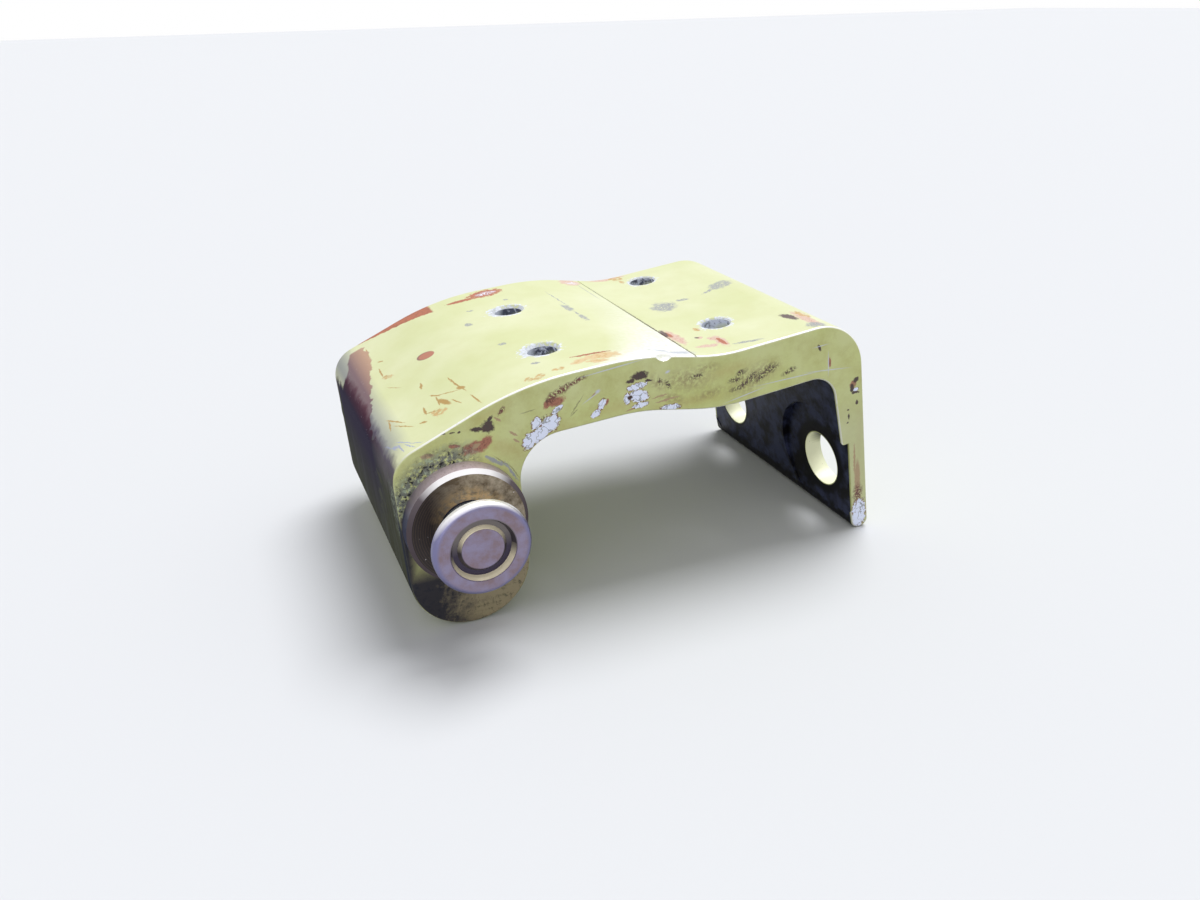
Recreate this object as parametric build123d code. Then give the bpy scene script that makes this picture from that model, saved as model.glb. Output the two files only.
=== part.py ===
"""Cabin door hinge: a bowed arm with a pivot leg and a bolting flange, two bushes and a headed pin.

X runs from the leg to the flange, Y from the near face to the far face, Z up. The arm stands on the
round end of its leg and on the foot of its flange. The model is drawn with the pin axis over X = 0,
the near face at Y = 0 and the ground at Z = 0, and is moved at the end so that the origin lies under
the middle of the whole object.
"""

from build123d import *
import math
import os

# Arm, seen from the side
ARM_WIDTH = 39.7
ARM_THICKNESS = 7.1
EDGE_ROUND = 0.3

# Leg that carries the pivot, with a nearly full-round end
PIVOT_HEIGHT = 14.55
LEG_WIDTH = 14.95
LEG_LEAN = 3.1
LEG_END_FLAT = 0.2
SHOULDER_HEIGHT = 23.0
SHOULDER_RADIUS = 4.2
ARMPIT_RADIUS = 5.5

# Bowed top line, from the pin axis to the flange: span, rise and bend radius of each stretch
KNEE_X = 7.8
KNEE_HEIGHT = 30.0
KNEE_RADIUS = 38.0
KNEE_TO_CREST = 15.2
CREST_RISE = 1.2
CREST_RADIUS = 35.0
CREST_TO_VALLEY = 11.0
VALLEY_DROP = 1.7
VALLEY_RADIUS = 22.0
VALLEY_TO_FOOT = 25.05
PAD_SLOPE = 6.6
UNDERSIDE_RADIUS = 25.0

# Bolting flange, leaning back from its foot
FLANGE_LEAN = 8.2
FLANGE_DRAFT = 4.9
FOOT_THICKNESS = 2.56
FOOT_FLAT = 0.2
CORNER_RADIUS = 6.8
INNER_CORNER_RADIUS = 3.6

# Two bolt holes through the flange, each with a flat seat milled into the drafted inner face
BOLT_SPACING = 25.4
BOLT_HEIGHT = 8.34
BOLT_HOLE_RADIUS = 4.0
SEAT_RADIUS = 9.0
SEAT_THICKNESS = 2.6

# Four screw holes down through the arm: distance from the pin axis and from the middle of the width
BOW_HOLES = ((14.0, -10.15), (15.3, 7.55))
PAD_HOLES = ((39.0, -9.25), (39.3, 14.75))
SCREW_HOLE_RADIUS = 1.9
BOW_HOLE_BREAK = 0.4
PAD_HOLE_BREAK = 0.2

# Crease scribed across the top before the pad begins, and a ding in the near top edge
CREASE_X = 30.5
CREASE_DEPTH = 0.18
DING_X = 26.2
DING_RADIUS = 1.6
DING_OUTSET = 0.7
DING_LIFT = 0.78

# Pivot pin, flat head with a ring groove round a sunk centre boss
PIN_RADIUS = 3.175
PIN_HEAD_RADIUS = 5.75
PIN_HEAD_THICKNESS = 1.4
PIN_HEAD_ROUND = 0.7
PIN_HEAD_BACK_BREAK = 0.25
HEAD_GROOVE_OUTER_RADIUS = 3.8
HEAD_GROOVE_WIDTH = 1.3
HEAD_GROOVE_DEPTH = 0.75
HEAD_GROOVE_SLANT = 0.35
HEAD_BOSS_SINK = 0.35
EAR_SPACE = 4.3
PIN_TAIL = 3.0
PIN_TAIL_BREAK = 0.6

# Flanged bushes pressed into the leg, one from each side
RUNNING_CLEARANCE = 0.05
BUSH_WALL = 1.54
BUSH_LENGTH = 12.0
BUSH_FLANGE_INSET = 0.175
BUSH_FLANGE_THICKNESS = 2.57
BUSH_FLANGE_BREAK = 0.5
BUSH_BORE_BREAK = 0.35

LEG_END_RADIUS = (LEG_WIDTH - LEG_END_FLAT) / 2
FOOT_RADIUS = (FOOT_THICKNESS - FOOT_FLAT) / 2
CREST_X = KNEE_X + KNEE_TO_CREST
CREST_HEIGHT = KNEE_HEIGHT + CREST_RISE
VALLEY_X = CREST_X + CREST_TO_VALLEY
VALLEY_HEIGHT = CREST_HEIGHT - VALLEY_DROP
FLANGE_X = VALLEY_X + VALLEY_TO_FOOT
BUSH_BORE_RADIUS = PIN_RADIUS + RUNNING_CLEARANCE
BUSH_BARREL_RADIUS = BUSH_BORE_RADIUS + BUSH_WALL
BUSH_FLANGE_RADIUS = LEG_WIDTH / 2 - BUSH_FLANGE_INSET
HEAD_GROOVE_INNER_RADIUS = HEAD_GROOVE_OUTER_RADIUS - HEAD_GROOVE_WIDTH
BOW_SLOPE = math.degrees(math.atan2(CREST_RISE, KNEE_TO_CREST))
ALONG_Y = (0, 1, 0)


def meet(point_a, degrees_a, point_b, degrees_b):
    """Point where two lines cross, each given by a point and its angle from +X in the side view."""
    dir_a = (math.cos(math.radians(degrees_a)), math.sin(math.radians(degrees_a)))
    dir_b = (math.cos(math.radians(degrees_b)), math.sin(math.radians(degrees_b)))
    cross = dir_a[0] * dir_b[1] - dir_a[1] * dir_b[0]
    gap = (point_b[0] - point_a[0], point_b[1] - point_a[1])
    along = (gap[0] * dir_b[1] - gap[1] * dir_b[0]) / cross
    return (point_a[0] + along * dir_a[0], point_a[1] + along * dir_a[1])


def leg_side(side):
    """A point on the leg's outer (-1) or inner (+1) side line at the height of the pin."""
    return (side * LEG_WIDTH / 2 / math.cos(math.radians(LEG_LEAN)), PIVOT_HEIGHT)


def arm_outline():
    """Corners of the arm's side view with the bend radius at each, from the leg's end round the top."""
    leg_angle = 90 + LEG_LEAN
    outer_angle = 90 + FLANGE_LEAN
    inner_angle = outer_angle + FLANGE_DRAFT
    ground = (0, 0)
    foot = (FLANGE_X, 0)
    foot_inside = (FLANGE_X - FOOT_THICKNESS, 0)
    knee = (KNEE_X, KNEE_HEIGHT)
    crest = (CREST_X, CREST_HEIGHT)
    valley = (VALLEY_X, VALLEY_HEIGHT)
    low_crest = (CREST_X, CREST_HEIGHT - ARM_THICKNESS)
    low_valley = (VALLEY_X, VALLEY_HEIGHT - ARM_THICKNESS)
    return (
        (meet(leg_side(-1), leg_angle, ground, 0), LEG_END_RADIUS),
        (meet(leg_side(-1), leg_angle, (0, SHOULDER_HEIGHT), 0), SHOULDER_RADIUS),
        (knee, KNEE_RADIUS),
        (crest, CREST_RADIUS),
        (valley, VALLEY_RADIUS),
        (meet(valley, PAD_SLOPE, foot, outer_angle), CORNER_RADIUS),
        (foot, FOOT_RADIUS),
        (foot_inside, FOOT_RADIUS),
        (meet(low_valley, PAD_SLOPE, foot_inside, inner_angle), INNER_CORNER_RADIUS),
        (low_valley, UNDERSIDE_RADIUS),
        (low_crest, UNDERSIDE_RADIUS),
        (meet(low_crest, BOW_SLOPE, leg_side(1), leg_angle), ARMPIT_RADIUS),
        (meet(leg_side(1), leg_angle, ground, 0), LEG_END_RADIUS),
    )


def top_height(x):
    """Height of the arm's straight top stretches at a distance x from the pin axis."""
    if x < CREST_X:
        return KNEE_HEIGHT + (x - KNEE_X) * CREST_RISE / KNEE_TO_CREST
    if x < VALLEY_X:
        return CREST_HEIGHT - (x - CREST_X) * VALLEY_DROP / CREST_TO_VALLEY
    return VALLEY_HEIGHT + (x - VALLEY_X) * math.tan(math.radians(PAD_SLOPE))


def screw_hole(x, offset, slope, mouth_break):
    """A screw hole square to the top surface, offset from the middle, with its mouth broken wider."""
    hole = Cylinder(SCREW_HOLE_RADIUS, 4 * ARM_THICKNESS)
    mouth = Cone(SCREW_HOLE_RADIUS, SCREW_HOLE_RADIUS + 2 * mouth_break, 2 * mouth_break)
    return Pos(x, ARM_WIDTH / 2 + offset, top_height(x)) * Rot(Y=-slope) * (hole + mouth)


def bolt_cut(y):
    """A bolt hole square to the flange's outer face, with the round seat that is milled round it."""
    lean = math.radians(FLANGE_LEAN)
    seat_x = FLANGE_X - BOLT_HEIGHT * math.tan(lean) - SEAT_THICKNESS / math.cos(lean)
    reach = 2 * SEAT_RADIUS
    hole = Cylinder(BOLT_HOLE_RADIUS, reach)
    seat = Cylinder(SEAT_RADIUS, reach / 2, align=(Align.CENTER, Align.CENTER, Align.MAX))
    return Pos(seat_x, y, BOLT_HEIGHT) * Rot(Y=90 - FLANGE_LEAN) * (hole + seat)


def hinge_arm():
    """The one-piece arm."""
    outline = arm_outline()
    line = FilletPolyline(*[p for p, _ in outline], radius=[r for _, r in outline], close=True)
    arm = extrude(Plane.XZ * make_face(line), ARM_WIDTH, dir=ALONG_Y)
    sides = arm.faces().sort_by(Axis.Y)
    arm = fillet(sides[0].edges() + sides[-1].edges(), EDGE_ROUND)

    arm -= Pos(0, ARM_WIDTH / 2, PIVOT_HEIGHT) * Rot(X=90) * Cylinder(BUSH_BARREL_RADIUS, 2 * ARM_WIDTH)
    for side in (-1, 1):
        arm -= bolt_cut(ARM_WIDTH / 2 + side * BOLT_SPACING / 2)

    for x, offset in BOW_HOLES:
        arm -= screw_hole(x, offset, BOW_SLOPE, BOW_HOLE_BREAK)
    for x, offset in PAD_HOLES:
        arm -= screw_hole(x, offset, PAD_SLOPE, PAD_HOLE_BREAK)

    crease_side = CREASE_DEPTH * math.sqrt(2)
    crease = Rot(Y=45) * Box(crease_side, 2 * ARM_WIDTH, crease_side)
    arm -= Pos(CREASE_X, ARM_WIDTH / 2, top_height(CREASE_X)) * crease
    arm -= Pos(DING_X, -DING_OUTSET, top_height(DING_X) + DING_LIFT) * Sphere(DING_RADIUS)
    return arm


def turned(points):
    """A piece turned about the pin axis, from its half section as (radius, y) corners."""
    half_section = make_face(Plane.XY * Polyline(*points, close=True))
    return Pos(0, 0, PIVOT_HEIGHT) * revolve(half_section, Axis.Y)


def flanged_bush():
    """The near bush: its flange lies on the near face and its barrel runs into the leg."""
    front = -BUSH_FLANGE_THICKNESS
    return turned((
        (BUSH_BORE_RADIUS, front + BUSH_BORE_BREAK),
        (BUSH_BORE_RADIUS + BUSH_BORE_BREAK, front),
        (BUSH_FLANGE_RADIUS - BUSH_FLANGE_BREAK, front),
        (BUSH_FLANGE_RADIUS, front + BUSH_FLANGE_BREAK),
        (BUSH_FLANGE_RADIUS, 0),
        (BUSH_BARREL_RADIUS, 0),
        (BUSH_BARREL_RADIUS, BUSH_LENGTH - BUSH_BORE_BREAK),
        (BUSH_BARREL_RADIUS - BUSH_BORE_BREAK, BUSH_LENGTH),
        (BUSH_BORE_RADIUS, BUSH_LENGTH),
    ))


def far_flanged_bush():
    """The far bush: the same piece turned end for end about the middle of the arm's width."""
    return Pos(0, ARM_WIDTH, 0) * Rot(Z=180) * flanged_bush()


def pivot_pin():
    """The headed pin: it stands out of the near bush by the room that the mating ear takes."""
    back = -BUSH_FLANGE_THICKNESS - EAR_SPACE
    front = back - PIN_HEAD_THICKNESS
    boss_top = front + HEAD_BOSS_SINK
    groove_floor = front + HEAD_GROOVE_DEPTH
    end = ARM_WIDTH + BUSH_FLANGE_THICKNESS + PIN_TAIL
    pin = turned((
        (0, boss_top),
        (HEAD_GROOVE_INNER_RADIUS, boss_top),
        (HEAD_GROOVE_INNER_RADIUS + HEAD_GROOVE_SLANT, groove_floor),
        (HEAD_GROOVE_OUTER_RADIUS - HEAD_GROOVE_SLANT, groove_floor),
        (HEAD_GROOVE_OUTER_RADIUS, front),
        (PIN_HEAD_RADIUS, front),
        (PIN_HEAD_RADIUS, back - PIN_HEAD_BACK_BREAK),
        (PIN_HEAD_RADIUS - PIN_HEAD_BACK_BREAK, back),
        (PIN_RADIUS, back),
        (PIN_RADIUS, end - PIN_TAIL_BREAK),
        (PIN_RADIUS - PIN_TAIL_BREAK, end),
        (0, end),
    ))
    rim = pin.edges().filter_by(GeomType.CIRCLE).sort_by(Axis.Y)[:3].sort_by(SortBy.RADIUS)[-1]
    return fillet(rim, PIN_HEAD_ROUND)


pieces = {
    "hinge_arm": hinge_arm(),
    "near_bush": flanged_bush(),
    "far_bush": far_flanged_bush(),
    "pivot_pin": pivot_pin(),
}

box = Compound(list(pieces.values())).bounding_box()
to_origin = Pos(-box.center().X, -box.center().Y, -box.min.Z)

os.makedirs("parts", exist_ok=True)
for name, piece in pieces.items():
    export_step(to_origin * piece, f"parts/{name}.step")
print("pin axis at", -box.center().X, "near face at", -box.center().Y, "ground at", -box.min.Z)
print("box", box.size)
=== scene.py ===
import math

import bpy
from mathutils import Matrix, Vector


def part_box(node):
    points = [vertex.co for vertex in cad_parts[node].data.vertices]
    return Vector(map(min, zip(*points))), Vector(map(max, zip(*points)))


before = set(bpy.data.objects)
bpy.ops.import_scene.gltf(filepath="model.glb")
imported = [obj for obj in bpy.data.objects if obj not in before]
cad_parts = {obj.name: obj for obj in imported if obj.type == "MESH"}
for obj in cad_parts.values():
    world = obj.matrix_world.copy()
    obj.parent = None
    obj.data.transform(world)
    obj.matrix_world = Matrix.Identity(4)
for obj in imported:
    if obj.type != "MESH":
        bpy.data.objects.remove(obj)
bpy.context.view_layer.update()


# The hinge arm: a goose neck machined from light alloy, painted pale yellow-green over a red-brown
# primer. The paint is chipped to primer and bare metal, and the inside is dark with grease. Places
# on it are in millimetres from the pin's axis, from the near face and from the ground.
MM_IN_METRE = 1000
arm_low, arm_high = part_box("hinge_arm")
pin_low, pin_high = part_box("pivot_pin")
PIN_AXIS_X = (pin_low.x + pin_high.x) / 2
PIN_AXIS_HEIGHT = (pin_low.z + pin_high.z) / 2 * MM_IN_METRE
FROM_AXIS_AND_FACE = (-PIN_AXIS_X * MM_IN_METRE, -arm_low.y * MM_IN_METRE, 0)
ARM_WIDTH = (arm_high.y - arm_low.y) * MM_IN_METRE
RELIEF_DEPTH = 0.012


def srgb(red, green, blue):
    """A colour from 0 to 255 as the eye sees it, as Blender's linear colour."""
    shares = (red / 255, green / 255, blue / 255)
    return tuple(c / 12.92 if c <= 0.04045 else ((c + 0.055) / 1.055) ** 2.4 for c in shares) + (1,)


class Finish:
    """A finish with patterns placed in millimetres from the pin's axis, near face and ground."""

    def __init__(self, name):
        self.material = bpy.data.materials.new(name)
        self.material.use_nodes = True
        self.tree = self.material.node_tree
        self.tree.nodes.clear()
        own = self.add("ShaderNodeTexCoord")
        shift = self.add("ShaderNodeVectorMath", own.outputs["Object"], (MM_IN_METRE,) * 3,
                         FROM_AXIS_AND_FACE, operation="MULTIPLY_ADD")
        self.place = shift.outputs[0]
        self.x, self.y, self.z = self.split(self.place)
        self.facing_x, self.facing_y, self.facing_z = self.split(own.outputs["Normal"])
        self.colour = None

    def add(self, kind, *values, **settings):
        """A new node with its settings. Values or other nodes' outputs fill its inputs in order."""
        node = self.tree.nodes.new(kind)
        for key, value in settings.items():
            setattr(node, key, value)
        sockets = [socket for socket in node.inputs if socket.enabled]
        for socket, value in zip(sockets, values):
            self.fill(socket, value)
        return node

    def fill(self, socket, value):
        """Links another node's output to the socket, or sets the socket to a plain value."""
        if isinstance(value, bpy.types.NodeSocket):
            self.tree.links.new(value, socket)
        else:
            socket.default_value = value

    def split(self, vector):
        return self.add("ShaderNodeSeparateXYZ", vector).outputs

    def math(self, operation, first, second=0.5, third=0.5):
        return self.add("ShaderNodeMath", first, second, third, operation=operation).outputs[0]

    def pushed(self, value, texture, amount):
        """A number moved by a texture, by the amount where the texture is 1."""
        return self.math("MULTIPLY_ADD", texture, amount, value)

    def ramp(self, value, start, end, low=0.0, high=1.0):
        """The low number up to start, the high one from end, and even between them."""
        return self.add("ShaderNodeMapRange", value, start, end, low, high).outputs[0]

    def between(self, value, low, high, soft=0.3):
        """1 between two numbers, with soft ends."""
        return self.all_of(self.ramp(value, low - soft, low), self.ramp(value, high + soft, high))

    def all_of(self, *masks):
        product = masks[0]
        for mask in masks[1:]:
            product = self.math("MULTIPLY", product, mask)
        return product

    def any_of(self, *masks):
        most = masks[0]
        for mask in masks[1:]:
            most = self.math("MAXIMUM", most, mask)
        return most

    def all_but(self, mask):
        return self.math("SUBTRACT", 1.0, mask)

    def mix(self, mask, below, above):
        """The colour below, covered by the colour above where the mask is 1."""
        return self.add("ShaderNodeMix", mask, below, above, data_type="RGBA").outputs[2]

    def level(self, mask, below, above):
        """A number in place of a colour, mixed the same way."""
        return self.add("ShaderNodeMix", mask, below, above, data_type="FLOAT").outputs[0]

    def cover(self, colour, *masks, strength=1.0):
        """Lays a colour over the finish where all the masks are 1, solid at a strength of 1."""
        if strength < 1.0:
            masks += (strength,)
        self.colour = self.mix(self.all_of(*masks), self.colour, colour)

    def texture(self, scale, detail, roughness, place=None):
        """A noise texture, with scale in waves a millimetre."""
        texture = self.add("ShaderNodeTexNoise", place or self.place)
        texture.inputs["Scale"].default_value = scale
        texture.inputs["Detail"].default_value = detail
        texture.inputs["Roughness"].default_value = roughness
        return texture

    def noise(self, scale, detail=2.0, roughness=0.5, place=None):
        """Noise of about 0 to 1."""
        return self.texture(scale, detail, roughness, place).outputs["Fac"]

    def ragged(self, amount, scale):
        """The place, pushed about by noise, so that marks on it have ragged edges."""
        push = self.texture(scale, 4.0, 0.65).outputs["Color"]
        centred = self.add("ShaderNodeVectorMath", push, (0.5, 0.5, 0.5), operation="SUBTRACT")
        return self.add("ShaderNodeVectorMath", centred.outputs[0], (2 * amount,) * 3, self.place,
                        operation="MULTIPLY_ADD").outputs[0]

    def reach(self, place, centre, half_sizes, turn=0.0, axis="z"):
        """How far a place is from a mark's centre, in half sizes. A size of 0 isn't counted."""
        if turn:
            rotate = self.add("ShaderNodeVectorRotate", rotation_type=axis.upper() + "_AXIS")
            self.tree.links.new(place, rotate.inputs["Vector"])
            rotate.inputs["Center"].default_value = centre
            rotate.inputs["Angle"].default_value = math.radians(turn if axis == "y" else -turn)
            place = rotate.outputs[0]
        shares = [1 / size if size else 0 for size in half_sizes]
        start = [-middle * share for middle, share in zip(centre, shares)]
        spot = self.add("ShaderNodeVectorMath", place, shares, start, operation="MULTIPLY_ADD")
        length = self.add("ShaderNodeVectorMath", spot.outputs[0], operation="LENGTH")
        return length.outputs["Value"]

    def nearest(self, place, axis, spots, roughened=None):
        """How far a place is from the nearest mark, in half sizes, so that 1 is the mark's edge.

        A mark is (along, across, half length, half width, turn in degrees). Marks seen along z lie
        from the axis and the near face, along y from the axis and the ground, and along x from the
        near face and the ground. A noise given as roughened breaks up their edges.
        """
        nearest = None
        for along, across, length, width, turn in spots:
            centre = {"x": (0, along, across), "y": (along, 0, across), "z": (along, across, 0)}
            sizes = {"x": (0, length, width), "y": (length, 0, width), "z": (length, width, 0)}
            reach = self.reach(place, centre[axis], sizes[axis], turn, axis)
            nearest = reach if nearest is None else self.math("MINIMUM", nearest, reach)
        if roughened is None:
            return nearest
        return self.pushed(self.math("SUBTRACT", nearest, 0.8), roughened, 1.6)

    def marks(self, place, axis, spots, roughened=None, soft=0.2):
        """1 inside any of the marks, 0 outside."""
        return self.ramp(self.nearest(place, axis, spots, roughened), 1 + soft, 1 - soft)

    def ring(self, across, height, inner, outer, soft):
        """1 between two radii round a line along x, that far from the near face and the ground."""
        reach = self.reach(self.place, (0, across, height), (0, 1, 1))
        return self.between(reach, inner, outer, soft)

    def from_pin_axis(self):
        return self.reach(self.place, (0, 0, PIN_AXIS_HEIGHT), (1, 0, 1))

    def shade(self, roughness, metallic, relief, shine=0.5):
        """Finishes the material with one shader, with a relief of a fixed depth."""
        bump = self.add("ShaderNodeBump")
        bump.inputs["Distance"].default_value = RELIEF_DEPTH / MM_IN_METRE
        self.fill(bump.inputs["Height"], relief)
        shader = self.add("ShaderNodeBsdfPrincipled")
        self.fill(shader.inputs["Base Color"], self.colour)
        self.fill(shader.inputs["Roughness"], roughness)
        self.fill(shader.inputs["Metallic"], metallic)
        self.fill(shader.inputs["Specular IOR Level"], shine)
        self.fill(shader.inputs["Normal"], bump.outputs[0])
        output = self.add("ShaderNodeOutputMaterial")
        self.fill(output.inputs["Surface"], shader.outputs[0])
        return self.material


def dress(node, material):
    """Gives a CAD node this material in place of its plain one."""
    for piece_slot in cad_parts[node].material_slots:
        piece_slot.material = material


PAINT = srgb(206, 212, 157)
PAINT_PALE = srgb(218, 222, 180)
PAINT_SIDE = srgb(220, 229, 146)
PAINT_SIDE_PALE = srgb(230, 236, 174)
PAINT_BORE_LIT = srgb(250, 252, 220)
PAINT_SOILED = srgb(186, 182, 96)
PAINT_OCHRE = srgb(196, 172, 104)
PAINT_GREY = srgb(156, 160, 152)
PRIMER = srgb(174, 102, 74)
PRIMER_PALE = srgb(210, 184, 168)
PRIMER_DEEP = srgb(132, 84, 64)
PRIMER_ROSE = srgb(186, 128, 106)
PRIMER_BROWN = srgb(128, 82, 70)
PRIMER_LIT = srgb(178, 138, 108)
PRIMER_WORN = srgb(96, 54, 66)
PRIMER_SHADED = srgb(40, 33, 58)
TAN = srgb(202, 168, 108)
TAN_PALE = srgb(214, 188, 140)
TAN_BROWN = srgb(196, 170, 134)
TAN_SCRATCH = srgb(172, 136, 60)
BARE_METAL = srgb(226, 232, 250)
BARE_SHADE = srgb(176, 182, 200)
BARE_AND_HIGHLIGHT = srgb(246, 247, 244)
GREY_RUB = srgb(148, 152, 154)
BLUE_GREY = srgb(160, 168, 192)
CHIP_BROWN = srgb(84, 62, 58)
HOLE_SHADE = srgb(84, 88, 108)
# Black, for grease and for the painted shadow at the flange's foot.
BLACK_GREASE_AND_SHADOW = srgb(15, 14, 18)
NAVY_FLANGE_SHADE = srgb(62, 68, 98)
GREY_GRIME_AND_SHADE = srgb(124, 129, 120)
GRIME_PALE = srgb(186, 204, 176)
LUG_BROWN = srgb(160, 144, 118)
LUG_DARK = srgb(70, 62, 56)
LUG_DARKEST = srgb(34, 38, 56)
LEG_OUTSIDE_SHADE = srgb(24, 25, 36)
LEG_STREAK = srgb(58, 60, 72)
LEG_TOP = srgb(104, 94, 118)

TOP_PRIMER = [
    (14.8, 37.2, 2.6, 1.6, 8), (11.0, 36.4, 2.2, 0.5, -10), (18.4, 4.3, 2.6, 0.25, -8),
    (36.4, 4.4, 1.3, 0.3, -92), (31.3, 9.2, 1.2, 0.35, -91),
]
OVAL_CHIP = (2.07, 22.4, 1.22, 0.95, -55)
OVAL_CHIP_MIDDLE = (2.19, 22.32, 1.22, 0.95, -55)
TOP_PRIMER_PALE = [
    (31.6, 8.0, 3.0, 1.0, -91), (36.4, 4.4, 2.0, 0.65, -92), (34.7, 7.0, 0.5, 0.5, -29),
    (36.0, 5.9, 0.7, 0.6, -38), (34.0, 3.6, 1.6, 0.5, 0), (28.6, 38.0, 1.5, 1.7, 7),
    (48.9, 4.2, 3.2, 0.8, -89), (35.0, 39.0, 3.0, 0.6, 0),
]
TOP_TAN = [
    (-3.1, 22.8, 1.0, 0.4, -50), (-0.6, 5.3, 1.0, 0.7, -59), (13.4, 2.1, 0.7, 0.4, -13),
    (10.7, 1.5, 0.8, 0.5, 30), (9.5, 1.7, 0.6, 0.5, -48), (36.5, 38.6, 1.2, 0.8, -61),
    (36.7, 36.3, 0.9, 0.35, -99), (35.8, 10.1, 0.6, 0.45, -77), (49.6, 6.2, 1.4, 0.8, -89),
]
TOP_TAN_SOFT = [(19.4, 3.0, 2.2, 1.0, -10), (16.4, 2.9, 1.4, 0.6, 18), (18.2, 1.7, 1.4, 0.5, -21)]
TOP_SPECKS = [(15.0, 37.2, 1.7, 0.9, 8), (28.8, 37.6, 1.0, 0.8, 0)]
STRIP_RUBS = [(28.9, 1.4, 1.7, 0.55, 4), (26.6, 2.2, 1.2, 0.3, -20)]
TOP_SCRATCHES = [
    (-3.5, 25.3, 1.6, 0.11, -92), (-0.5, 14.5, 0.9, 0.16, -100), (2.8, 8.8, 2.5, 0.1, -82),
    (2.9, 7.9, 0.7, 0.3, -60), (2.6, 10.9, 1.7, 0.08, -85), (0.5, 6.9, 1.5, 0.35, -74),
    (0.1, 9.8, 0.9, 0.13, -60), (0.0, 8.1, 1.4, 0.1, -94), (-1.8, 7.5, 1.1, 0.15, -94),
    (-5.1, 9.4, 1.9, 0.09, -65), (-5.8, 9.2, 1.3, 0.1, -97), (-4.6, 7.0, 1.8, 0.08, -60),
    (-2.6, 5.0, 0.5, 0.2, -40), (3.4, 3.1, 1.7, 0.1, -84), (1.6, 5.2, 1.2, 0.08, -75),
    (-3.2, 18.6, 1.3, 0.06, -60), (-2.8, 29.0, 0.5, 0.15, -50), (-3.9, 32.0, 0.5, 0.12, -50),
    (1.4, 8.6, 1.8, 0.08, -40), (-1.2, 6.2, 1.0, 0.1, -35), (-3.6, 34.5, 1.6, 0.1, -95),
]
TOP_DARK = [(30.9, 9.8, 1.5, 0.4, -98), (47.4, 5.9, 1.5, 0.6, -80), (34.3, 7.1, 0.3, 0.25, -30)]
TOP_GREY = [
    (9.1, 25.9, 0.8, 0.35, -75), (10.9, 31.1, 0.5, 0.3, -48), (11.8, 5.8, 0.5, 0.3, -25),
    (10.5, 15.1, 0.5, 0.4, -24), (16.5, 32.2, 0.4, 0.3, -39), (22.7, 23.4, 1.7, 0.5, -87),
    (23.1, 18.3, 1.4, 0.4, -88), (23.0, 20.6, 1.2, 0.13, -89), (23.0, 28.4, 3.6, 0.12, -87),
    (36.5, 21.2, 1.8, 2.0, -28), (39.9, 22.2, 1.0, 0.35, -15), (47.3, 24.3, 2.1, 1.3, 23),
    (44.9, 23.0, 1.6, 0.3, 20), (38.9, 2.0, 1.8, 0.3, -16), (48.6, 1.4, 1.3, 0.9, -24),
]
CORNER_SCRATCHES = [
    (-5.4, 3.1, 1.5, 0.07, -62), (-6.0, 2.4, 1.2, 0.1, -85), (-5.1, 1.6, 1.1, 0.07, -68),
    (-6.8, 4.6, 1.8, 0.06, -78), (-4.3, 1.3, 0.8, 0.08, -50), (-6.4, 3.6, 0.6, 0.16, -70),
]
FACE_DARK = [
    (3.7, 25.6, 0.8, 0.75, 13), (2.4, 25.5, 0.7, 0.3, -5), (4.0, 26.5, 0.5, 0.2, 51),
    (22.9, 28.7, 1.1, 0.5, -1), (21.7, 28.2, 0.6, 0.25, 5), (21.6, 26.1, 0.3, 0.25, -10),
    (24.1, 27.9, 0.5, 0.16, -9), (48.4, 28.4, 0.5, 0.18, -66), (54.6, 23.0, 0.5, 0.35, 38),
    (54.1, 21.9, 0.3, 0.6, 0), (54.7, 21.2, 0.6, 0.2, 3), (53.8, 18.8, 0.15, 0.12, 0),
    (54.0, 17.8, 0.4, 0.14, -84), (53.9, 16.9, 0.15, 0.12, 0), (55.1, 19.7, 0.35, 0.2, -84),
    (-1.7, 25.7, 0.5, 0.12, -5), (-0.5, 25.6, 0.3, 0.1, 4), (0.3, 25.5, 0.2, 0.1, 9),
]
FACE_SPECKLED = [
    (11.7, 27.9, 1.0, 0.5, 38), (13.0, 28.6, 1.2, 0.45, 30), (14.7, 29.3, 1.3, 0.3, 18),
    (57.0, 3.6, 1.2, 0.8, -84), (56.7, 5.6, 1.4, 0.7, -84), (5.4, 27.2, 0.6, 0.25, 51),
]
FACE_SMEARS = [
    (36.1, 26.0, 0.9, 0.3, 4), (37.5, 25.3, 1.0, 0.35, 23), (38.5, 26.0, 1.1, 0.45, 31),
    (39.9, 25.9, 1.1, 0.45, 31), (41.0, 26.6, 1.3, 0.5, 25), (36.9, 26.8, 0.8, 0.35, 25),
    (36.6, 24.9, 1.1, 0.3, 8), (25.6, 27.5, 0.5, 0.3, -68), (26.7, 27.0, 0.6, 0.3, -58),
    (10.1, 25.3, 0.7, 0.3, 29), (44.0, 25.9, 1.0, 0.3, 20), (30.6, 27.4, 0.8, 0.3, 10),
]
FACE_PRIMER = [
    (2.1, 23.3, 1.7, 0.75, 8), (3.4, 23.8, 0.7, 0.6, 39), (-0.3, 23.9, 0.7, 0.25, -11),
    (12.2, 27.2, 1.0, 0.5, 16), (11.1, 27.1, 0.7, 0.4, 39), (18.6, 26.1, 0.4, 0.2, 77),
    (17.6, 25.4, 0.4, 0.25, 26), (50.2, 26.1, 0.7, 0.2, -85), (54.2, 22.4, 0.5, 0.5, -10),
]
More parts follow.
